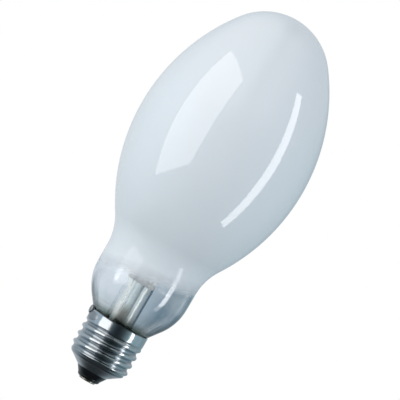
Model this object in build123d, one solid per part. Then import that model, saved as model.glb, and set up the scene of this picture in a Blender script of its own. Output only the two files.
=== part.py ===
from build123d import *
from math import atan2, cos, degrees, radians, sin, sqrt, tan
import os

# High pressure sodium lamp with a coated ellipsoidal bulb on an E27 screw cap.
# Sizes are in millimetres. The origin is the centre of the flat end contact, +Z runs to the dome.

# Outer bulb, from the crown down to the seal inside the cap
bulb_diameter = 75.0
overall_length = 169.2
glass_wall = 0.9
crown_radius = 26.0
neck_radius = 20.7
neck_sweep_radius = 23.0
neck_length = 7.0
shoulder_radius = 22.1
shoulder_angle = 37.0
seal_clearance = 0.57
seal_bend_radius = 3.0
seal_height = 13.0

# Screw cap shell
cap_height = 27.0
thread_pitch = 3.629
thread_crest = 13.15
thread_root = 12.05
thread_low = 8.6
skirt_height = 4.4
thread_fade = 1.5
thread_phase = 10.2
thread_levels = 28
thread_columns = 12
cup_levels = 6
skirt_levels = 7
end_overrun = 0.4
shell_wall = 0.28
skirt_radius = 13.0
rim_flare = 0.25
rim_height = 0.8
cup_radius = 12.1
cup_edge_radius = 11.6
cup_angle = 35.1
lip_radius = 6.8
lip_height = 4.5

# End contact and its insulator
contact_radius = 3.6
contact_thickness = 1.0
contact_rounding = 0.45
contact_hole = 0.9
insulator_bore = 0.75
insulator_foot = (4.1, 0.7)
insulator_bulge = (4.7, 1.15)
insulator_waist = (5.0, 1.9)
insulator_rim = 10.2
insulator_ledge = 7.6
insulator_clearance = 0.03
insulator_floor = 5.4
insulator_top = 8.0

# Stem: its tube stands to one side of the bulb's axis, as in the photograph
stem_x = -0.8
stem_radius = 6.1
flare_middle = (-0.6, 7.5, 16.6)
flare_top = 21.0
stem_top = 59.0
press_height = 7.0
pinch_height = 5.0
press_thickness = 5.4
press_rounding = 1.2
cavity_drop = 11.6
cavity_slope = 2.3
cavity_top_radius = 2.9
exhaust_radius = 2.1
exhaust_wall = 0.7
exhaust_foot = 16.0
exhaust_bore = 0.9

# Lead wires with the sleeve on one of them, side contact and frame
lead_offset = 3.2
lead_radius = 0.45
lead_drop = 2.3
lead_bend = 2.0
centre_lead_bend_high = 15.0
centre_lead_bend_low = 11.0
centre_lead_foot = 0.45
side_lead_foot = 15.0
sleeve_radius = 1.0
sleeve_rise = 1.5
sleeve_length = 18.5
rim_wire_radius = 0.15
rim_wire_low = 11.8
rim_wire_drop = 2.0
rim_wire_bends = (0.5, 0.5, 3.0, 0.3, 0.3)
rim_wire_clearance = 0.03
side_contact_angle = 192.0
side_solder_size = (0.75, 1.9, 1.9)
side_solder_bulge = 1.0
side_solder_drop = 0.6
solder_run_angle = 209.0
solder_run_size = (2.2, 4.8, 3.2)
solder_run_bulge = 0.4
solder_run_drop = 2.6
cement_drop = 0.8
cement_height = 3.3
rod_radius = 0.8
rod_bend = 3.0
rod_rise = 2.0
short_rod_x = 4.6
short_rod_slant = 4.0
frame_rod_x = -12.0
frame_rod_slant = 7.0
strap_thickness = 0.5
strap_height = 4.0
strap_inset = 1.0

# Arc tube and its seals
arc_rise = 20.0
arc_drop = 27.2
arc_radius = 3.25
arc_wall = 0.75
plug_depth = 3.5
niobium_radius = 1.5
niobium_wall = 0.25
niobium_outside = 12.0
niobium_inside = 2.5
electrode_radius = 0.4
electrode_reach = 5.0
electrode_disc = 0.5
coil_radius = 0.9
coil_wire = 0.25
coil_pitch = 0.5
coil_turns = 4
coil_start = 2.0
frit_radius = 2.3
frit_height = 0.8
frit_tip = 0.1
amalgam_radius = 0.7
amalgam_x = 1.65
amalgam_sunk = 0.2

# Getter
getter_rise = 6.0
getter_radius = 4.2
getter_width = 0.8
getter_skin = 0.15
getter_reach = 8.0
getter_wire_radius = 0.3

# Places that follow from these sizes
thread_high = cap_height - skirt_height
seal_radius = thread_root - shell_wall - seal_clearance
shoulder_slope = radians(shoulder_angle)
wire_room = (2 * rim_wire_radius + 2 * rim_wire_clearance) / cos(shoulder_slope)
bulb_at_rim = skirt_radius + rim_flare - shell_wall - wire_room
cone_radius = neck_radius - shoulder_radius * (1 - cos(shoulder_slope))
cone_height = cap_height + (cone_radius - bulb_at_rim) / tan(shoulder_slope)
shoulder_height = cone_height + shoulder_radius * sin(shoulder_slope)
neck_top = shoulder_height + neck_length
cavity_top = stem_top - cavity_drop
pinch_high = stem_top - press_height
pinch_low = pinch_high - pinch_height
lead_top = stem_top - lead_drop
rod_bend_low = stem_top + rod_rise
arc_low = stem_top + arc_rise
arc_high = overall_length - arc_drop
niobium_low = arc_low - niobium_outside
niobium_high = arc_high + niobium_outside
lower_strap_low = niobium_low + strap_inset
upper_strap_low = niobium_high - strap_inset - strap_height
getter_height = rod_bend_low + frame_rod_slant + getter_rise


def spun(edges):
    # Turns a closed outline of edges, drawn as radius and height, about Z.
    return revolve(Plane.XZ * make_face(Curve() + edges), Axis.Z)


def spun_points(*points):
    return revolve(Plane.XZ * make_face(Polyline(*points, close=True)), Axis.Z)


def bar(radius, x, low, high):
    return Pos(x, 0, low) * extrude(Circle(radius), high - low)


def wire_along(radius, bend, *corners):
    path = FilletPolyline(*corners, radius=bend)
    return sweep(Plane(origin=path @ 0, z_dir=path % 0) * Circle(radius), path=path)


def cap_point(radius, height):
    # A point in the half plane of the side contact.
    angle = radians(side_contact_angle)
    return (radius * cos(angle), radius * sin(angle), height)


def flank_spans(radius):
    # How far a flank arc of this radius reaches from the belly up to the crown and down to the neck.
    belly = bulb_diameter / 2
    crown_offset = radius - belly
    sweep_offset = neck_radius + neck_sweep_radius + radius - belly
    up = sqrt((radius - crown_radius) ** 2 - crown_offset**2)
    down = sqrt((radius + neck_sweep_radius) ** 2 - sweep_offset**2)
    return up, down


def flank_arc():
    # Radius and height of the one flank arc that runs smoothly into both the crown and the neck.
    room = overall_length - crown_radius - neck_top
    low = (bulb_diameter / 2 + crown_radius) / 2
    high = 10 * overall_length
    for halving in range(60):
        radius = (low + high) / 2
        if sum(flank_spans(radius)) < room:
            low = radius
        else:
            high = radius
    return radius, neck_top + flank_spans(radius)[1]


def bulb_body(inset):
    # The filled bulb, with every face set in from the outer skin.
    flank_radius, flank_z = flank_arc()
    flank_x = bulb_diameter / 2 - flank_radius
    crown_z = overall_length - crown_radius
    sweep_x = neck_radius + neck_sweep_radius
    crown_angle = degrees(atan2(crown_z - flank_z, -flank_x))
    sweep_angle = degrees(atan2(neck_top - flank_z, sweep_x - flank_x))
    shoulder_x = neck_radius - shoulder_radius
    bend_x = seal_radius + seal_bend_radius
    bend_foot = seal_radius + seal_bend_radius * (1 - cos(shoulder_slope))
    bend_z = cone_height - (cone_radius - bend_foot) / tan(shoulder_slope)
    bend_z = bend_z - seal_bend_radius * sin(shoulder_slope)

    seal_bend = CenterArc((bend_x, bend_z), seal_bend_radius + inset, 180, -shoulder_angle)
    shoulder_reach = shoulder_radius - inset
    shoulder = CenterArc((shoulder_x, shoulder_height), shoulder_reach, -shoulder_angle, shoulder_angle)
    neck_sweep = CenterArc((sweep_x, neck_top), neck_sweep_radius + inset, 180, sweep_angle)
    flank = CenterArc((flank_x, flank_z), flank_radius - inset, sweep_angle, crown_angle - sweep_angle)
    crown = CenterArc((0, crown_z), crown_radius - inset, crown_angle, 90 - crown_angle)
    base = (0, seal_height)
    foot = (seal_radius - inset, seal_height)
    return spun(
        [
            Line(base, foot),
            Line(foot, seal_bend @ 0),
            seal_bend,
            Line(seal_bend @ 1, shoulder @ 0),
            shoulder,
            Line(shoulder @ 1, neck_sweep @ 0),
            neck_sweep,
            flank,
            crown,
            Line(crown @ 1, base),
        ]
    )


def outer_bulb():
    return bulb_body(0) - bulb_body(glass_wall)


def thread_wave(offset, inset):
    # Radius of the rolled thread at a height from the crest: two equal arcs, crest and root.
    depth = thread_crest - thread_root
    arc = (thread_pitch**2 / 4 + depth**2) / (4 * depth)
    along = abs((offset + thread_pitch / 2) % thread_pitch - thread_pitch / 2)
    if along <= (arc - inset) / (2 * arc) * thread_pitch / 2:
        return thread_crest - arc + sqrt((arc - inset) ** 2 - along**2)
    return thread_root + arc - sqrt((arc + inset) ** 2 - (thread_pitch / 2 - along) ** 2)


def eased(share):
    share = min(1.0, max(0.0, share))
    return share * share * (3 - 2 * share)


def thread_radius(turn, height, inset):
    # Radius of the shell, a right-hand thread that fades out into plain rings at both ends.
    low = eased((height - thread_low) / thread_fade)
    high = eased((thread_high - height) / thread_fade)
    radius = thread_wave(height - thread_phase - thread_pitch * turn, inset)
    radius = (cup_radius - inset) * (1 - low) + radius * low
    return (skirt_radius - inset) * (1 - high) + radius * high


def shell_ring(radius_at, height):
    # A level ring of the shell. All rings share their spline parameters, which keeps the skin light.
    shares = [column / thread_columns for column in range(thread_columns + 1)]
    points = []
    for turn in shares[:-1]:
        angle = radians(360 * turn)
        radius = radius_at(turn, height)
        points.append((radius * cos(angle), radius * sin(angle), height))
    return Wire([Edge.make_spline(points, periodic=True, parameters=shares)])


def shell_body(inset, overrun=0.0):
    # The filled shell: closing cup, rolled thread, plain skirt and flared rim, lofted in one skin.
    # An overrun carries the cup and the rim on past their ends, so that one body can hollow the other.
    slope = tan(radians(cup_angle))
    flare = rim_flare / rim_height
    rim_foot = cap_height - rim_height
    inside = inset / sin(radians(cup_angle))
    profile = [(lip_radius - overrun / slope - inside, lip_height - overrun)] if overrun else []
    for level in range(cup_levels + 1):
        radius = lip_radius + (cup_edge_radius - lip_radius) * level / cup_levels
        profile.append((radius - inside, lip_height + (radius - lip_radius) * slope))
    rings = [shell_ring(lambda turn, z: radius, height) for radius, height in profile]
    for level in range(thread_levels + 1):
        height = thread_low + (thread_high - thread_low) * level / thread_levels
        rings.append(shell_ring(lambda turn, z: thread_radius(turn, z, inset), height))
    for level in range(1, skirt_levels + 1):
        height = thread_high + (rim_foot - thread_high) * level / skirt_levels
        rings.append(shell_ring(lambda turn, z: skirt_radius - inset, height))
    rim = skirt_radius + rim_flare - inset
    rings.append(shell_ring(lambda turn, z: rim, cap_height))
    if overrun:
        rings.append(shell_ring(lambda turn, z: rim + overrun * flare, cap_height + overrun))
    return Solid.make_loft(rings)


def screw_shell():
    return shell_body(0) - shell_body(shell_wall, end_overrun)


def insulator():
    # Black glass that fills the cup of the shell and stands out below its lip.
    slope = radians(cup_angle)
    lip_inside = lip_radius - shell_wall / sin(slope) - insulator_clearance
    corners = [
        insulator_waist,
        (lip_radius, lip_height),
        (lip_inside, lip_height),
        (insulator_rim, lip_height + (insulator_rim - lip_inside) * tan(slope)),
        (insulator_rim, insulator_top),
        (insulator_ledge, insulator_top),
        (contact_radius, insulator_floor),
        (insulator_bore, insulator_floor),
        (insulator_bore, contact_thickness),
        (contact_radius, contact_thickness),
        (contact_radius, insulator_foot[1]),
        insulator_foot,
    ]
    return spun([ThreePointArc(insulator_foot, insulator_bulge, insulator_waist), Polyline(*corners)])


def centre_contact():
    edge = contact_radius - contact_rounding
    rounding = CenterArc((edge, contact_rounding), contact_rounding, -90, 90)
    corners = [
        rounding @ 1,
        (contact_radius, contact_thickness),
        (contact_hole, contact_thickness),
        (contact_hole, 0),
        rounding @ 0,
    ]
    return spun([rounding, Polyline(*corners)])


def centre_solder():
    return bar(contact_hole, 0, 0, contact_thickness) - centre_lead()


def tube_steps(wall):
    # Flare and tube of the stem, filled, with the wall taken off the radius.
    flare_radius = seal_radius - glass_wall
    flare_low = seal_height + glass_wall
    rim = bar(flare_radius - wall, 0, seal_height, flare_low)
    low = Pos(0, 0, flare_low) * Circle(flare_radius - wall)
    middle = Pos(flare_middle[0], 0, flare_middle[2]) * Circle(flare_middle[1] - wall)
    high = Pos(stem_x, 0, flare_top) * Circle(stem_radius - wall)
    return rim + loft([low, middle, high])


def stem_press():
    # The end of the tube pinched flat round the leads: a bar cut to a rounded wedge seen from the side.
    half = press_thickness / 2
    side = Polyline(
        (-stem_radius, flare_top),
        (-stem_radius, pinch_low),
        (-half, pinch_high),
        (-half, stem_top),
        (half, stem_top),
        (half, pinch_high),
        (stem_radius, pinch_low),
        (stem_radius, flare_top),
        close=True,
    )
    face = make_face(side)
    rounded = face.vertices().filter_by_position(Axis.Y, pinch_high, stem_top)
    wedge = extrude(Plane.YZ * fillet(rounded, press_rounding), stem_radius, both=True)
    return bar(stem_radius, stem_x, flare_top, stem_top) & (Pos(stem_x, 0, 0) * wedge)


def stem_cavity():
    cone = Pos(stem_x, 0, 0) * spun_points(
        (0, flare_top),
        (stem_radius - glass_wall, flare_top),
        (stem_radius - glass_wall, cavity_top - cavity_slope),
        (cavity_top_radius, cavity_top),
        (0, cavity_top),
    )
    return tube_steps(glass_wall) + cone


def stem():
    glass = tube_steps(0) + stem_press() - stem_cavity()
    glass = glass - bar(exhaust_bore, stem_x, cavity_top, stem_top)
    for metal in (centre_lead(), side_lead(), short_rod(), frame_rod()):
        glass = glass - metal
    return glass


def exhaust_tube():
    # Sealed off at its foot with a round tip.
    inside = exhaust_radius - exhaust_wall
    outer = bar(exhaust_radius, stem_x, exhaust_foot + exhaust_radius, cavity_top)
    outer = outer + Pos(stem_x, 0, exhaust_foot + exhaust_radius) * Sphere(exhaust_radius)
    bore = bar(inside, stem_x, exhaust_foot + exhaust_radius, cavity_top)
    bore = bore + Pos(stem_x, 0, exhaust_foot + exhaust_radius) * Sphere(inside)
    return outer - bore


def centre_lead():
    x = stem_x + lead_offset
    return wire_along(
        lead_radius,
        lead_bend,
        (x, 0, lead_top),
        (x, 0, centre_lead_bend_high),
        (0, 0, centre_lead_bend_low),
        (0, 0, centre_lead_foot),
    )


def side_lead():
    return bar(lead_radius, stem_x - lead_offset, side_lead_foot, lead_top)


def lead_sleeve():
    # White insulating sleeve that keeps the side lead off the other one.
    low = side_lead_foot + sleeve_rise
    return bar(sleeve_radius, stem_x - lead_offset, low, low + sleeve_length) - side_lead()


def rim_wire():
    # From the side lead, round the foot of the bulb, up inside the shell and over its rim.
    slope = tan(shoulder_slope)
    room = rim_wire_radius + rim_wire_clearance
    crossing = cap_height + room
    inner = (seal_radius + thread_root - shell_wall) / 2
    beside_cone = cone_radius + room / cos(shoulder_slope)
    outside = skirt_radius + rim_flare + room
    return wire_along(
        rim_wire_radius,
        rim_wire_bends,
        (stem_x - lead_offset, 0, side_lead_foot),
        (stem_x - lead_offset, 0, rim_wire_low),
        cap_point(inner, rim_wire_low),
        cap_point(inner, cone_height - (beside_cone - inner) / slope),
        cap_point(beside_cone - (cone_height - crossing) * slope, crossing),
        cap_point(outside, crossing),
        cap_point(outside, crossing - rim_wire_drop),
    )


def solder_drop(angle, drop, bulge, size):
    # What stands out of the shell of a rounded drop with half sizes outwards, round the rim and up.
    place = Rot(0, 0, angle) * Pos(skirt_radius + bulge - size[0], 0, cap_height - drop)
    return place * scale(Sphere(1), by=size) - shell_body(0)


def side_solder():
    # The joint over the rim, and the flat run of solder beside it down the skirt.
    joint = solder_drop(side_contact_angle, side_solder_drop, side_solder_bulge, side_solder_size)
    run = solder_drop(solder_run_angle, solder_run_drop, solder_run_bulge, solder_run_size)
    return joint + run - bulb_body(0) - rim_wire()


def basing_cement():
    high = cap_height - cement_drop
    ring = bar(skirt_radius, 0, high - cement_height, high) & shell_body(shell_wall, end_overrun)
    return ring - bulb_body(0) - rim_wire()


def short_rod():
    x = stem_x + lead_offset
    return wire_along(
        rod_radius,
        rod_bend,
        (x, 0, lead_top),
        (x, 0, rod_bend_low),
        (short_rod_x, 0, rod_bend_low + short_rod_slant),
        (short_rod_x, 0, lower_strap_low + strap_height),
    )


def frame_rod():
    x = stem_x - lead_offset
    return wire_along(
        rod_radius,
        rod_bend,
        (x, 0, lead_top),
        (x, 0, rod_bend_low),
        (frame_rod_x, 0, rod_bend_low + frame_rod_slant),
        (frame_rod_x, 0, niobium_high),
    )


def strap(low, rod_x, rod):
    # A collar round a niobium tube with a flat tab welded to a rod.
    collar = bar(niobium_radius + strap_thickness, 0, low, low + strap_height)
    tab = Pos(rod_x / 2, 0, low + strap_height / 2) * Box(abs(rod_x), strap_thickness, strap_height)
    return collar + tab - bar(niobium_radius, 0, low, low + strap_height) - rod


def arc_tube():
    return bar(arc_radius, 0, arc_low, arc_high) - bar(arc_radius - arc_wall, 0, arc_low, arc_high)


def plug():
    high = arc_low + plug_depth
    return bar(arc_radius - arc_wall, 0, arc_low, high) - bar(niobium_radius, 0, arc_low, high)


def niobium_tube():
    high = arc_low + niobium_inside
    inside = niobium_radius - niobium_wall
    return bar(niobium_radius, 0, niobium_low, high) - bar(inside, 0, niobium_low + niobium_wall, high)


def electrode():
    # A rod on a disc that closes the mouth of the niobium tube, with its coil as a ridged sleeve.
    mouth = arc_low + niobium_inside
    body = bar(niobium_radius - niobium_wall, 0, mouth - electrode_disc, mouth)
    body = body + bar(electrode_radius, 0, mouth, mouth + electrode_reach)
    coil = [(0, mouth + coil_start)]
    for turn in range(coil_turns):
        height = mouth + coil_start + coil_pitch * turn
        coil.append((coil_radius - coil_wire, height))
        coil.append((coil_radius, height + coil_pitch / 2))
    coil.append((coil_radius - coil_wire, mouth + coil_start + coil_pitch * coil_turns))
    coil.append((0, mouth + coil_start + coil_pitch * coil_turns))
    return body + spun_points(*coil)


def frit():
    return spun_points(
        (niobium_radius, arc_low),
        (frit_radius, arc_low),
        (niobium_radius + frit_tip, arc_low - frit_height),
        (niobium_radius, arc_low - frit_height),
    )


def amalgam():
    floor = arc_low + plug_depth
    drop = Pos(amalgam_x, 0, floor + amalgam_radius - amalgam_sunk) * Sphere(amalgam_radius)
    return drop - bar(arc_radius, 0, arc_low, floor)


def at_other_end(shape):
    return mirror(shape, Plane.XY.offset((arc_low + arc_high) / 2))


def getter_ring():
    inner = getter_radius - getter_width
    ring = spun_points(
        (inner, 0),
        (getter_radius, 0),
        (getter_radius, getter_width),
        (getter_radius - getter_skin, getter_width),
        (getter_radius - getter_skin, getter_skin),
        (inner + getter_skin, getter_skin),
        (inner + getter_skin, getter_width),
        (inner, getter_width),
    )
    return Pos(frame_rod_x, getter_reach, getter_height - getter_width / 2) * ring


def getter_wire():
    reach = getter_reach - getter_radius + getter_skin / 2
    wire = Pos(frame_rod_x, 0, getter_height) * Rot(-90, 0, 0) * extrude(Circle(getter_wire_radius), reach)
    return wire - frame_rod() - getter_ring()


def write(name, shape):
    export_step(shape, "parts/" + name + ".step")


os.makedirs("parts", exist_ok=True)
write("outer_bulb", outer_bulb())
write("screw_shell", screw_shell())
write("insulator", insulator())
write("centre_contact", centre_contact())
write("centre_solder", centre_solder())
write("side_solder", side_solder())
write("basing_cement", basing_cement())
write("rim_wire", rim_wire())
write("stem", stem())
write("exhaust_tube", exhaust_tube())
write("centre_lead", centre_lead())
write("side_lead", side_lead())
write("lead_sleeve", lead_sleeve())
write("short_rod", short_rod())
write("frame_rod", frame_rod())
write("lower_strap", strap(lower_strap_low, short_rod_x, short_rod()))
write("upper_strap", strap(upper_strap_low, frame_rod_x, frame_rod()))
write("arc_tube", arc_tube())
write("lower_plug", plug())
write("upper_plug", at_other_end(plug()))
write("lower_niobium_tube", niobium_tube())
write("upper_niobium_tube", at_other_end(niobium_tube()))
write("lower_electrode", electrode())
write("upper_electrode", at_other_end(electrode()))
write("lower_frit", frit())
write("upper_frit", at_other_end(frit()))
write("amalgam", amalgam())
write("getter_ring", getter_ring())
write("getter_wire", getter_wire())
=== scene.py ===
import bpy
from math import cos, pi, radians, sin
from mathutils import Matrix, Vector

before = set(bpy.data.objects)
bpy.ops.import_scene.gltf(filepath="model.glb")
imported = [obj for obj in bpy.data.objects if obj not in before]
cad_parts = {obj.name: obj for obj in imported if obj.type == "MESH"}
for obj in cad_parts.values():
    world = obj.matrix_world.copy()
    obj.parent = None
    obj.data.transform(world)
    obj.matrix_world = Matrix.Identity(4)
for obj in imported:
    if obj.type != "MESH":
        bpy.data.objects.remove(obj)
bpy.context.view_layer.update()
bpy.ops.object.select_all(action="DESELECT")
print("loaded", len(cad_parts), "CAD nodes")


# helpers for node trees

noiseSpan = (0.3, 0.7)          # most of a noise texture's values lie between these


def newMaterial(name):
    # a fresh material with its Principled shader, ready to be wired
    material = bpy.data.materials.new(name)
    material.use_nodes = True
    nodes = material.node_tree.nodes
    shader = [n for n in nodes if n.type == "BSDF_PRINCIPLED"][0]
    return material, nodes, material.node_tree.links, shader


def surfaceOf(nodes):
    # where a material takes its finished shader
    return [n for n in nodes if n.type == "OUTPUT_MATERIAL"][0].inputs["Surface"]


def objectPoint(nodes):
    return nodes.new("ShaderNodeTexCoord").outputs["Object"]


def splitPoint(nodes, links, point):
    # the parts of a point, each taken by its letter
    split = nodes.new("ShaderNodeSeparateXYZ")
    links.new(point, split.inputs[0])
    return split.outputs


def radiusOf(nodes, links):
    # the distance from the lamp's axis, in metres
    flat = nodes.new("ShaderNodeVectorMath")
    flat.operation = "MULTIPLY"
    flat.inputs[1].default_value = (1, 1, 0)
    links.new(objectPoint(nodes), flat.inputs[0])
    length = nodes.new("ShaderNodeVectorMath")
    length.operation = "LENGTH"
    links.new(flat.outputs[0], length.inputs[0])
    return length.outputs["Value"]


def noiseOf(nodes, links, scale, detail, stretch=(1, 1, 1)):
    mapping = nodes.new("ShaderNodeMapping")
    mapping.inputs["Scale"].default_value = stretch
    links.new(objectPoint(nodes), mapping.inputs["Vector"])
    noise = nodes.new("ShaderNodeTexNoise")
    noise.inputs["Scale"].default_value = scale
    noise.inputs["Detail"].default_value = detail
    links.new(mapping.outputs[0], noise.inputs["Vector"])
    return noise.outputs["Fac"]


def remap(nodes, links, value, low, high, toLow, toHigh, smooth=False):
    mapper = nodes.new("ShaderNodeMapRange")
    if smooth:
        mapper.interpolation_type = "SMOOTHSTEP"
    mapper.inputs["From Min"].default_value = low
    mapper.inputs["From Max"].default_value = high
    mapper.inputs["To Min"].default_value = toLow
    mapper.inputs["To Max"].default_value = toHigh
    links.new(value, mapper.inputs["Value"])
    return mapper.outputs["Result"]


def rise(nodes, links, value, low, high):
    # 0 up to low, 1 from high on and smooth between them
    return remap(nodes, links, value, low, high, 0, 1, smooth=True)


def mathOf(nodes, links, operation, first, second):
    node = nodes.new("ShaderNodeMath")
    node.operation = operation
    for socket, value in zip(node.inputs, (first, second)):
        if isinstance(value, (int, float)):
            socket.default_value = value
        else:
            links.new(value, socket)
    return node.outputs[0]


def blendColours(nodes, links, factor, first, second):
    mix = nodes.new("ShaderNodeMix")
    mix.data_type = "RGBA"
    for socket, value in ((mix.inputs[6], first), (mix.inputs[7], second)):
        if isinstance(value, tuple):
            socket.default_value = (*value, 1)
        else:
            links.new(value, socket)
    links.new(factor, mix.inputs[0])
    return mix.outputs[2]


def multiplyColours(nodes, links, first, second):
    mix = nodes.new("ShaderNodeMix")
    mix.data_type = "RGBA"
    mix.blend_type = "MULTIPLY"
    mix.inputs[0].default_value = 1
    links.new(first, mix.inputs[6])
    links.new(second, mix.inputs[7])
    return mix.outputs[2]


def mixShaders(nodes, links, factor, first, second):
    mix = nodes.new("ShaderNodeMixShader")
    links.new(factor, mix.inputs[0])
    links.new(first, mix.inputs[1])
    links.new(second, mix.inputs[2])
    return mix.outputs[0]


def addBump(nodes, links, shader, height, strength, distance):
    bump = nodes.new("ShaderNodeBump")
    bump.inputs["Strength"].default_value = strength
    bump.inputs["Distance"].default_value = distance
    links.new(height, bump.inputs["Height"])
    links.new(bump.outputs[0], shader.inputs["Normal"])


def rampOf(nodes, links, value, stops):
    # a colour ramp over a value between 0 and 1, its stops written as (place, colour)
    node = nodes.new("ShaderNodeValToRGB")
    links.new(value, node.inputs[0])
    ramp = node.color_ramp
    first, last = ramp.elements[0], ramp.elements[1]
    first.position, last.position = stops[0][0], stops[-1][0]
    first.color, last.color = (*stops[0][1], 1), (*stops[-1][1], 1)
    for position, colour in stops[1:-1]:
        ramp.elements.new(position).color = (*colour, 1)
    return node.outputs[0]


def shaded(colour, share):
    return tuple(share * part for part in colour)


def putOn(material, *names):
    # puts one material on every slot of these CAD nodes
    for name in names:
        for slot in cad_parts[name].material_slots:
            slot.material = material


# glass that the bulb and the stem share

glassLook = {
    "index": 1.5,               # how much it bends light
}


def glassShader(nodes, links, shader, tint, roughness=0.0, clearness=1.0):
    # glass that lets the studio's light through to what stands inside
    shader.inputs["Base Color"].default_value = (*tint, 1)
    shader.inputs["Roughness"].default_value = roughness
    shader.inputs["IOR"].default_value = glassLook["index"]
    shader.inputs["Transmission Weight"].default_value = clearness
    passing = nodes.new("ShaderNodeBsdfTransparent")
    path = nodes.new("ShaderNodeLightPath")
    return mixShaders(nodes, links, path.outputs["Is Shadow Ray"], shader.outputs[0], passing.outputs[0])


def footedGlass(name, tint, foot, low, high):
    # clear glass with another tone at its foot, which ends between two heights in metres
    material, nodes, links, shader = newMaterial(name)
    surface = glassShader(nodes, links, shader, tint)
    height = splitPoint(nodes, links, objectPoint(nodes))["Z"]
    share = rise(nodes, links, height, low, high)
    links.new(blendColours(nodes, links, share, foot, tint), shader.inputs["Base Color"])
    links.new(surface, surfaceOf(nodes))
    return material


# outer bulb: white powder coat inside, running out over the clear neck

bulbLook = {
    "coatColour": (0.765, 0.80, 0.835),
    "coatShade": (0.735, 0.775, 0.815),
    "coatClouds": 45,           # clouds of the two tones per metre
    "coatPasses": (0.55, 0.57, 0.58),   # share of the studio's light that the coat lets inside
    "coatRoughness": 0.06,
    "coatEdge": 0.0500,         # height of the coat's lower edge, in metres
    "coatLean": 0.20,           # how much higher that is per metre to the right
    "coatFade": 0.0045,         # half the height over which the coat runs out
    "edgeWander": 0.0006,       # how far the edge strays up and down
    "edgeWaves": 60,            # per metre
    "polishLow": 0.056,         # the coated glass mirrors less under this height
    "polishHigh": 0.068,        # and in full above this one
    "glassTint": (0.93, 0.955, 0.965),
    "sealShadeTint": (0.46, 0.52, 0.50),     # painted shade: the glass is darker towards its seal, where the cap's dark inside shows through
    "sealLow": 0.0275,          # height where that tone begins to clear
    "sealHigh": 0.0305,         # and has cleared
    "clearBelow": 0.0400,       # faces under this height are plain glass
    "shineFrom": 0.004,         # over them the clear glass shines more to the right of here
    "shineFull": 0.009,
    "shineAll": 0.0430,         # and in full above this height
}


def coatedGlass(look):
    material, nodes, links, clear = newMaterial("coatedBulbGlass")
    clearSide = glassShader(nodes, links, clear, look["glassTint"])
    coat = nodes.new("ShaderNodeBsdfPrincipled")
    cloud = noiseOf(nodes, links, look["coatClouds"], detail=4)
    tone = blendColours(nodes, links, cloud, look["coatShade"], look["coatColour"])
    links.new(tone, coat.inputs["Base Color"])
    coat.inputs["Roughness"].default_value = look["coatRoughness"]
    coat.inputs["IOR"].default_value = glassLook["index"]
    place = splitPoint(nodes, links, objectPoint(nodes))
    across, height = place["X"], place["Z"]
    polish = rise(nodes, links, height, look["polishLow"], look["polishHigh"])
    links.new(polish, coat.inputs["Coat Weight"])
    coat.inputs["Coat Roughness"].default_value = 0.0
    passing = nodes.new("ShaderNodeBsdfTransparent")
    passing.inputs["Color"].default_value = (*look["coatPasses"], 1)
    path = nodes.new("ShaderNodeLightPath")
    coatSide = mixShaders(
        nodes, links, path.outputs["Is Shadow Ray"], coat.outputs[0], passing.outputs[0]
    )
    shineAcross = rise(nodes, links, across, look["shineFrom"], look["shineFull"])
    shineUp = rise(nodes, links, height, look["clearBelow"], look["shineAll"])
    links.new(mathOf(nodes, links, "MULTIPLY", shineAcross, shineUp), clear.inputs["Coat Weight"])
    clear.inputs["Coat Roughness"].default_value = 0.0
    # the coat's edge leans and wanders a little round the neck
    waves = noiseOf(nodes, links, look["edgeWaves"], detail=2)
    wander = remap(nodes, links, waves, *noiseSpan, -look["edgeWander"], look["edgeWander"])
    lean = mathOf(nodes, links, "MULTIPLY", across, -look["coatLean"])
    level = mathOf(nodes, links, "ADD", height, mathOf(nodes, links, "ADD", lean, wander))
    edge, fade = look["coatEdge"], look["coatFade"]
    share = rise(nodes, links, level, edge - fade, edge + fade)
    links.new(mixShaders(nodes, links, share, clearSide, coatSide), surfaceOf(nodes))
    return material


def dressBulb(look):
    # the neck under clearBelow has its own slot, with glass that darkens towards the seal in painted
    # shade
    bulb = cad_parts["outer_bulb"]
    putOn(coatedGlass(look), "outer_bulb")
    neckGlass = footedGlass(
        "neckGlass", look["glassTint"], look["sealShadeTint"], look["sealLow"], look["sealHigh"]
    )
    bulb.data.materials.append(neckGlass)
    for face in bulb.data.polygons:
        highest = max(bulb.data.vertices[v].co.z for v in face.vertices)
        face.material_index = 1 if highest < look["clearBelow"] else 0
    print("dressed the bulb")


dressBulb(bulbLook)


# screw cap

shellLook = {
    "bright": (0.51, 0.53, 0.54),       # plating on the crests of the thread
    "dull": (0.34, 0.365, 0.385),       # and in its grooves
    "rootRadius": 0.01205,
    "crestRadius": 0.01315,
    "brightRoughness": 0.085,
    "dullRoughness": 0.19,
    "stains": 260,              # per metre
    "stainSpan": (0.35, 0.7),   # part of the noise that they take
    "stainDull": -0.25,         # how much duller and brighter they make it
    "stainBright": 0.2,
    "marks": 900,               # fine marks round the shell, per metre
    "markStretch": (1, 1, 6),
    "markStrength": 0.12,
    "markHeight": 0.0002,
}


def platedMetal(look):
    # nickel plate, duller in the grooves of the thread, with fine marks round the shell
    material, nodes, links, shader = newMaterial("platedBrass")
    radius = radiusOf(nodes, links)
    crest = remap(nodes, links, radius, look["rootRadius"], look["crestRadius"], 0, 1)
    cloud = noiseOf(nodes, links, look["stains"], detail=5)
    stain = remap(nodes, links, cloud, *look["stainSpan"], look["stainDull"], look["stainBright"])
    wear = mathOf(nodes, links, "ADD", crest, stain)
    share = remap(nodes, links, wear, 0, 1, 0, 1)       # kept between 0 and 1
    tone = blendColours(nodes, links, share, look["dull"], look["bright"])
    links.new(tone, shader.inputs["Base Color"])
    rough = remap(nodes, links, share, 0, 1, look["dullRoughness"], look["brightRoughness"])
    links.new(rough, shader.inputs["Roughness"])
    shader.inputs["Metallic"].default_value = 1
    marks = noiseOf(nodes, links, look["marks"], detail=3, stretch=look["markStretch"])
    addBump(nodes, links, shader, marks, look["markStrength"], look["markHeight"])
    return material


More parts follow.
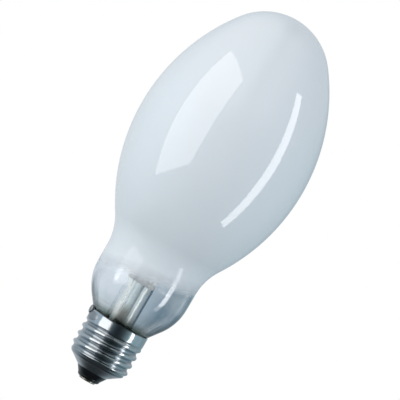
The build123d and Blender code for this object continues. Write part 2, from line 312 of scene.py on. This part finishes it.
insulatorLook = {
    "black": (0.003, 0.0035, 0.004),
    "lighter": 1.8,             # how much lighter its clouds are
    "clouds": 500,              # per metre
    "smoothest": 0.12,
    "roughest": 0.3,
    "index": 1.55,
    "bumpStrength": 0.15,
    "bumpHeight": 0.0003,
}


def blackGlass(look):
    material, nodes, links, shader = newMaterial("blackGlass")
    cloud = noiseOf(nodes, links, look["clouds"], detail=4)
    lighter = shaded(look["black"], look["lighter"])
    links.new(blendColours(nodes, links, cloud, look["black"], lighter), shader.inputs["Base Color"])
    rough = remap(nodes, links, cloud, *noiseSpan, look["smoothest"], look["roughest"])
    links.new(rough, shader.inputs["Roughness"])
    shader.inputs["IOR"].default_value = look["index"]
    addBump(nodes, links, shader, cloud, look["bumpStrength"], look["bumpHeight"])
    return material


grainLook = {                   # what a grainy surface has unless it says otherwise
    "grain": 400,               # clouds per metre
    "strength": 0.1,            # of its bump
    "metallic": 1.0,
    "darkest": 0.72,            # share of the colour between the clouds
    "roughest": 1.3,            # times its roughness there
    "smoothest": 0.8,           # and on the clouds
    "height": 0.0003,
}


def grainySurface(name, special):
    # a metal or a cement whose shine and tone vary a little over the piece
    look = {**grainLook, **special}
    material, nodes, links, shader = newMaterial(name)
    cloud = noiseOf(nodes, links, look["grain"], detail=4)
    darker = shaded(look["colour"], look["darkest"])
    links.new(blendColours(nodes, links, cloud, darker, look["colour"]), shader.inputs["Base Color"])
    roughest = look["roughness"] * look["roughest"]
    smoothest = look["roughness"] * look["smoothest"]
    rough = remap(nodes, links, cloud, *noiseSpan, roughest, smoothest)
    links.new(rough, shader.inputs["Roughness"])
    shader.inputs["Metallic"].default_value = look["metallic"]
    addBump(nodes, links, shader, cloud, look["strength"], look["height"])
    return material


capSurfaces = {
    "contactBrass": {"colour": (0.44, 0.40, 0.33), "roughness": 0.3, "pieces": ("centre_contact",)},
    "solder": {
        "colour": (0.36, 0.375, 0.385), "roughness": 0.3, "grain": 700, "strength": 0.5,
        "pieces": ("centre_solder", "side_solder"),
    },
    "cement": {
        "colour": (0.13, 0.13, 0.12), "roughness": 0.85, "grain": 900, "strength": 0.8, "metallic": 0.0,
        "pieces": ("basing_cement",),
    },
}


def dressCap():
    putOn(platedMetal(shellLook), "screw_shell")
    putOn(blackGlass(insulatorLook), "insulator")
    for name, look in capSurfaces.items():
        putOn(grainySurface(name, look), *look["pieces"])
    print("dressed the cap")


dressCap()


# stem, leads, frame and arc tube

stemLook = {
    "tint": (0.97, 0.99, 0.98),
    "foot": (0.62, 0.64, 0.62),         # painted shade: the glass is darker where it comes out of the cap
    "footLow": 0.0275,                  # heights in metres between which that tone ends
    "footHigh": 0.0335,
    "exhaustFoot": (0.30, 0.28, 0.22),  # the exhaust tube is darker and brownish there
    "exhaustLow": 0.029,
    "exhaustHigh": 0.037,
    "pressFrom": 0.0446,                # height where the tube closes to the press
    "pressTint": (0.97, 0.985, 1.0),
    "pressRoughness": 0.10,
    "pressClearness": 0.5,
    "pressClouds": 350,                 # per metre
    "pressShade": 0.9,                  # tone between them
}


def milkyGlass(look):
    material, nodes, links, shader = newMaterial("pressGlass")
    tint = look["pressTint"]
    surface = glassShader(nodes, links, shader, tint, look["pressRoughness"], look["pressClearness"])
    cloud = noiseOf(nodes, links, look["pressClouds"], detail=3)
    darker = shaded(tint, look["pressShade"])
    links.new(blendColours(nodes, links, cloud, darker, tint), shader.inputs["Base Color"])
    links.new(surface, surfaceOf(nodes))
    return material


def dressStem(look):
    # the tube is clear, and the press above it has its own slot with clouded glass
    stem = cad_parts["stem"]
    tubeGlass = footedGlass("stemGlass", look["tint"], look["foot"], look["footLow"], look["footHigh"])
    putOn(tubeGlass, "stem")
    stem.data.materials.append(milkyGlass(look))
    for face in stem.data.polygons:
        lowest = min(stem.data.vertices[v].co.z for v in face.vertices)
        face.material_index = 1 if lowest > look["pressFrom"] else 0
    exhaustGlass = footedGlass(
        "exhaustGlass", look["tint"], look["exhaustFoot"], look["exhaustLow"], look["exhaustHigh"]
    )
    putOn(exhaustGlass, "exhaust_tube")
    print("dressed the stem")


dressStem(stemLook)


sleeveLook = {
    "colour": (0.93, 0.95, 0.98),
    "shade": 0.88,              # tone between the ridges
    "roughness": 0.6,
    "ridges": 480,              # scale of the ridges
    "lean": 38,                 # their angle, in degrees
    "strength": 0.4,
    "height": 0.0002,
}


def fibreSleeve(look):
    # white glass-fibre braid: two crossed twills of fine ridges
    material, nodes, links, shader = newMaterial("fibreSleeve")
    twills = []
    for lean in (look["lean"], -look["lean"]):
        mapping = nodes.new("ShaderNodeMapping")
        mapping.inputs["Rotation"].default_value = (0, radians(lean), 0)
        links.new(objectPoint(nodes), mapping.inputs["Vector"])
        wave = nodes.new("ShaderNodeTexWave")
        wave.bands_direction = "Z"
        wave.inputs["Scale"].default_value = look["ridges"]
        links.new(mapping.outputs[0], wave.inputs["Vector"])
        twills.append(wave.outputs["Fac"])
    braid = mathOf(nodes, links, "MAXIMUM", twills[0], twills[1])
    darker = shaded(look["colour"], look["shade"])
    links.new(blendColours(nodes, links, braid, darker, look["colour"]), shader.inputs["Base Color"])
    shader.inputs["Roughness"].default_value = look["roughness"]
    addBump(nodes, links, shader, braid, look["strength"], look["height"])
    return material


insideMetals = {
    "leadMetal": {
        "colour": (0.72, 0.71, 0.69), "roughness": 0.18, "pieces": ("centre_lead", "side_lead"),
    },
    "copper": {"colour": (0.62, 0.34, 0.22), "roughness": 0.3, "pieces": ("rim_wire",)},
    "frameMetal": {
        "colour": (0.55, 0.55, 0.54), "roughness": 0.28,
        "pieces": ("short_rod", "frame_rod", "lower_strap", "upper_strap", "getter_ring", "getter_wire"),
    },
    "niobium": {
        "colour": (0.42, 0.42, 0.44), "roughness": 0.35,
        "pieces": ("lower_niobium_tube", "upper_niobium_tube"),
    },
    "tungsten": {
        "colour": (0.30, 0.30, 0.31), "roughness": 0.4,
        "pieces": ("lower_electrode", "upper_electrode"),
    },
    "amalgam": {"colour": (0.70, 0.71, 0.72), "roughness": 0.2, "pieces": ("amalgam",)},
}
insideCeramics = {
    "alumina": {
        "colour": (0.86, 0.85, 0.82), "roughness": 0.35, "grain": 300,
        "pieces": ("arc_tube", "lower_plug", "upper_plug"),
    },
    "fritGlass": {
        "colour": (0.62, 0.58, 0.50), "roughness": 0.3, "grain": 600,
        "pieces": ("lower_frit", "upper_frit"),
    },
}
ceramicGrain = {"darkest": 0.85, "strength": 0.1, "height": 0.0002}


def ceramic(name, look):
    material, nodes, links, shader = newMaterial(name)
    cloud = noiseOf(nodes, links, look["grain"], detail=4)
    darker = shaded(look["colour"], ceramicGrain["darkest"])
    links.new(blendColours(nodes, links, cloud, darker, look["colour"]), shader.inputs["Base Color"])
    shader.inputs["Roughness"].default_value = look["roughness"]
    addBump(nodes, links, shader, cloud, ceramicGrain["strength"], ceramicGrain["height"])
    return material


def dressInside():
    putOn(fibreSleeve(sleeveLook), "lead_sleeve")
    for name, look in insideMetals.items():
        putOn(grainySurface(name, look), *look["pieces"])
    for name, look in insideCeramics.items():
        putOn(ceramic(name, look), *look["pieces"])
    print("dressed the leads, the frame and the arc tube")


dressInside()


# floor and the card behind the neck

def cameraOrGlass(nodes, links, path):
    # 1 for what the camera sees straight or through glass, else 0
    return mathOf(
        nodes, links, "MAXIMUM", path.outputs["Is Camera Ray"], path.outputs["Is Transmission Ray"]
    )


floorLook = {
    "height": -0.25,
    "radius": 1.2,
    "corners": 96,
    "paint": (0.50, 0.55, 0.565),
    "paintLight": (0.52, 0.57, 0.585),
    "clouds": 4,                # per metre
    "roughness": 0.9,
    "shine": 0.1,
    "glow": 0.66,               # light added for the camera and the glass, to look white
}


def buildFloor(look):
    bpy.ops.mesh.primitive_circle_add(
        vertices=look["corners"], radius=look["radius"], fill_type="NGON", location=(0, 0, look["height"])
    )
    bpy.ops.object.transform_apply(location=True, rotation=False, scale=False)
    floor = bpy.context.object
    floor.name = "studioFloor"
    material, nodes, links, shader = newMaterial("paleFloor")
    cloud = noiseOf(nodes, links, look["clouds"], detail=2)
    tone = blendColours(nodes, links, cloud, look["paint"], look["paintLight"])
    links.new(tone, shader.inputs["Base Color"])
    shader.inputs["Roughness"].default_value = look["roughness"]
    shader.inputs["Specular IOR Level"].default_value = look["shine"]
    glow = nodes.new("ShaderNodeEmission")
    seen = cameraOrGlass(nodes, links, nodes.new("ShaderNodeLightPath"))
    links.new(mathOf(nodes, links, "MULTIPLY", seen, look["glow"]), glow.inputs["Strength"])
    total = nodes.new("ShaderNodeAddShader")
    links.new(shader.outputs[0], total.inputs[0])
    links.new(glow.outputs[0], total.inputs[1])
    links.new(total.outputs[0], surfaceOf(nodes))
    floor.data.materials.append(material)
    floor.visible_glossy = False
    print("laid the floor")


buildFloor(floorLook)


neckCard = {
    "behind": 0.046,            # how far behind the axis it stands, in metres
    "halfWidth": 0.080,
    "low": -0.020,
    "high": 0.056,
    "across": [                 # its glow from left to right: painted light on the left and painted shadow on the right
        (0.34, (0.62, 0.67, 0.75)),
        (0.44, (0.70, 0.75, 0.82)),
        (0.50, (0.52, 0.60, 0.67)),
        (0.55, (0.33, 0.41, 0.49)),
        (0.585, (0.09, 0.16, 0.22)),
        (0.65, (0.035, 0.09, 0.14)),
    ],
    "dim": [                    # painted shade towards its foot: how much of it is left, from its foot upwards
        (0.52, (0.14, 0.16, 0.14)),
        (0.58, (0.40, 0.44, 0.42)),
        (0.63, (0.80, 0.83, 0.81)),
        (0.70, (1.00, 1.00, 1.00)),
    ],
}


def buildNeckCard(look):
    # a glowing card that only glass shows, with painted light and painted shadow, as the lit and shaded
    # studio behind the neck did
    width = 2 * look["halfWidth"]
    tall = look["high"] - look["low"]
    centre = (0, look["behind"], look["low"] + tall / 2)
    bpy.ops.mesh.primitive_plane_add(size=1, location=centre, rotation=(pi / 2, 0, 0))
    card = bpy.context.object
    card.name = "neckCard"
    card.scale = (width, tall, 1)
    bpy.ops.object.transform_apply(location=True, rotation=True, scale=True)
    material, nodes, links, shader = newMaterial("neckCardPaintedLight")
    nodes.remove(shader)
    place = splitPoint(nodes, links, objectPoint(nodes))
    sideways = remap(nodes, links, place["X"], -look["halfWidth"], look["halfWidth"], 0, 1)
    upwards = remap(nodes, links, place["Z"], look["low"], look["high"], 0, 1)
    tone = multiplyColours(
        nodes, links, rampOf(nodes, links, sideways, look["across"]),
        rampOf(nodes, links, upwards, look["dim"]),
    )
    # the card glows with painted light and shade, though it is no lamp
    glow = nodes.new("ShaderNodeEmission")
    links.new(tone, glow.inputs["Color"])
    links.new(glow.outputs[0], surfaceOf(nodes))
    card.data.materials.append(material)
    for kind in ("camera", "diffuse", "glossy", "shadow", "volume_scatter"):
        setattr(card, "visible_" + kind, False)
    print("stood the card behind the neck")


buildNeckCard(neckCard)


# surround, light and camera

roomLook = {
    "ambient": [                # what lights the matt surfaces, from below to above
        (0.00, (0.59, 0.675, 0.715)),
        (0.50, (0.615, 0.68, 0.725)),
        (1.00, (0.65, 0.695, 0.725)),
    ],
    "ambientAcross": [          # how much of it is left, from left to right
        (0.00, (1.00, 0.98, 0.97)),
        (0.50, (1.05, 1.01, 1.00)),
        (1.00, (0.70, 0.75, 0.76)),
    ],
    "front": [                  # what polished surfaces mirror, from left to right
        (0.00, (0.62, 0.76, 0.88)),
        (0.20, (0.34, 0.40, 0.46)),
        (0.40, (0.07, 0.10, 0.12)),
        (0.50, (0.028, 0.041, 0.049)),
        (0.60, (0.022, 0.032, 0.039)),
        (0.70, (0.045, 0.065, 0.075)),
        (0.78, (0.09, 0.13, 0.15)),
        (0.86, (0.22, 0.31, 0.34)),
        (0.96, (0.42, 0.60, 0.68)),
    ],
    "above": [                  # the same over the lamp
        (0.20, (0.66, 0.70, 0.72)),
        (0.38, (0.64, 0.68, 0.70)),
        (0.46, (0.26, 0.29, 0.30)),
        (0.52, (0.09, 0.11, 0.12)),
        (0.62, (0.34, 0.39, 0.41)),
        (0.90, (0.44, 0.53, 0.57)),
    ],
    "back": [                   # the white background, with toned flags beside the lamp
        (0.00, (0.70, 0.79, 0.86)),
        (0.24, (0.66, 0.73, 0.78)),
        (0.38, (0.64, 0.70, 0.74)),
        (0.47, (1.00, 1.00, 1.00)),
        (0.53, (1.00, 1.00, 1.00)),
        (0.62, (0.36, 0.44, 0.49)),
        (0.74, (0.34, 0.45, 0.50)),
        (1.00, (0.44, 0.62, 0.70)),
    ],
    "backAbove": (0.55, 0.62, 0.67),
    "below": (0.045, 0.055, 0.061),
    # where one side gives way to the next, as the direction's height or depth from -1 to 1
    "aboveSpan": (0.15, 0.60),
    "backAboveSpan": (0.08, 0.40),
    "backSpan": (0.15, 0.90),
    "belowSpan": (-0.90, -0.60),
}


def mirroredRoom(nodes, links, look, point):
    # what polished surfaces mirror: a dim front, a lighter ceiling, the background and a dark floor
    facing = splitPoint(nodes, links, point)
    along, height = facing["Y"], facing["Z"]
    sideways = remap(nodes, links, facing["X"], -1, 1, 0, 1)
    front = blendColours(
        nodes, links, rise(nodes, links, height, *look["aboveSpan"]),
        rampOf(nodes, links, sideways, look["front"]), rampOf(nodes, links, sideways, look["above"]),
    )
    back = blendColours(
        nodes, links, rise(nodes, links, height, *look["backAboveSpan"]),
        rampOf(nodes, links, sideways, look["back"]), look["backAbove"],
    )
    walls = blendColours(nodes, links, rise(nodes, links, along, *look["backSpan"]), front, back)
    overFloor = rise(nodes, links, height, *look["belowSpan"])
    return blendColours(nodes, links, overFloor, look["below"], walls)


def ambientTone(nodes, links, look, point):
    facing = splitPoint(nodes, links, point)
    sideways = remap(nodes, links, facing["X"], -1, 1, 0, 1)
    upwards = remap(nodes, links, facing["Z"], -1, 1, 0, 1)
    return multiplyColours(
        nodes, links, rampOf(nodes, links, upwards, look["ambient"]),
        rampOf(nodes, links, sideways, look["ambientAcross"]),
    )


def buildWorld(look):
    # white for the camera and through glass, with a room of its own for mirrored and for matt light
    world = bpy.data.worlds.new("studio")
    bpy.context.scene.world = world
    world.use_nodes = True
    nodes, links = world.node_tree.nodes, world.node_tree.links
    nodes.clear()
    output = nodes.new("ShaderNodeOutputWorld")
    path = nodes.new("ShaderNodeLightPath")
    point = nodes.new("ShaderNodeTexCoord").outputs["Generated"]
    ambient, mirrored, white = (nodes.new("ShaderNodeBackground") for kind in range(3))
    links.new(ambientTone(nodes, links, look, point), ambient.inputs["Color"])
    links.new(mirroredRoom(nodes, links, look, point), mirrored.inputs["Color"])
    white.inputs["Color"].default_value = (1, 1, 1, 1)
    unseen = mixShaders(
        nodes, links, path.outputs["Is Glossy Ray"], ambient.outputs[0], mirrored.outputs[0]
    )
    seen = cameraOrGlass(nodes, links, path)
    links.new(mixShaders(nodes, links, seen, unseen, white.outputs[0]), output.inputs["Surface"])
    print("lit the surround")


buildWorld(roomLook)


studioLook = {
    "middle": (0.0, 0.0, 0.0864),       # of the lamp, which the lights and the camera face
}
leftSoftbox = {                         # lengths in metres, angles in degrees
    "name": "leftSoftbox",
    "azimuth": -44.2, "elevation": 11.5, "distance": 0.8,
    "turn": -23.7, "lift": -1.9, "roll": 8.7,
    "width": 0.73, "height": 1.05, "radiance": 1.52, "colour": (1.0, 0.975, 0.95),
}
rightStrip = {
    "name": "rightStrip",
    "azimuth": 67.9, "elevation": 5.6, "distance": 0.8,
    "turn": -16.9, "lift": 1.0, "roll": -6.7,
    "width": 0.165, "height": 1.26, "radiance": 3.25, "colour": (1.0, 0.965, 0.98),
}


def directionTo(azimuth, elevation):
    # a direction from the lamp: azimuth 0 is the camera's side, positive to its right
    flat = cos(radians(elevation))
    return Vector((sin(radians(azimuth)) * flat, -cos(radians(azimuth)) * flat, sin(radians(elevation))))


def addSoftbox(look):
    # azimuth and elevation give its place seen from the lamp; turn, lift and roll swing it there
    light = bpy.data.lights.new(look["name"], "AREA")
    light.shape = "RECTANGLE"
    light.size, light.size_y = look["width"], look["height"]
    light.energy = look["radiance"] * pi * look["width"] * look["height"]
    light.color = look["colour"]
    box = bpy.data.objects.new(look["name"], light)
    bpy.context.collection.objects.link(box)
    outward = directionTo(look["azimuth"] + look["turn"], look["elevation"] + look["lift"])
    side = Vector((0, 0, 1)).cross(outward).normalized()
    upright = outward.cross(side)
    roll = radians(look["roll"])
    across = side * cos(roll) + upright * sin(roll)
    upward = upright * cos(roll) - side * sin(roll)
    middle = Vector(studioLook["middle"])
    place = middle + directionTo(look["azimuth"], look["elevation"]) * look["distance"]
    facing = Matrix((across, upward, outward)).transposed().to_4x4()
    box.matrix_world = Matrix.Translation(place) @ facing
    box.visible_camera = False
    print("set up", look["name"])


addSoftbox(leftSoftbox)
addSoftbox(rightStrip)


cameraLook = {
    "tilt": 30.21,              # how far the photograph leans the lamp, in degrees
    "right": 0.0029,            # how far the camera stands right of the lamp's axis
    "away": 1.05,               # and in front of it
    "lens": 233.2,
    "sensor": 36,
    "nearest": 0.01,
}


def buildCamera(look):
    data = bpy.data.cameras.new("photoCamera")
    data.lens = look["lens"]
    data.sensor_width = look["sensor"]
    data.clip_start = look["nearest"]
    camera = bpy.data.objects.new("photoCamera", data)
    bpy.context.collection.objects.link(camera)
    lean = radians(look["tilt"])
    right = Vector((cos(lean), 0, sin(lean)))
    up = Vector((-sin(lean), 0, cos(lean)))
    back = Vector((0, -1, 0))
    turn = Matrix((right, up, back)).transposed().to_4x4()
    place = Vector((look["right"], -look["away"], studioLook["middle"][2]))
    camera.matrix_world = Matrix.Translation(place) @ turn
    bpy.context.scene.camera = camera
    print("placed the camera")


buildCamera(cameraLook)
bpy.context.scene.view_settings.view_transform = "Standard"
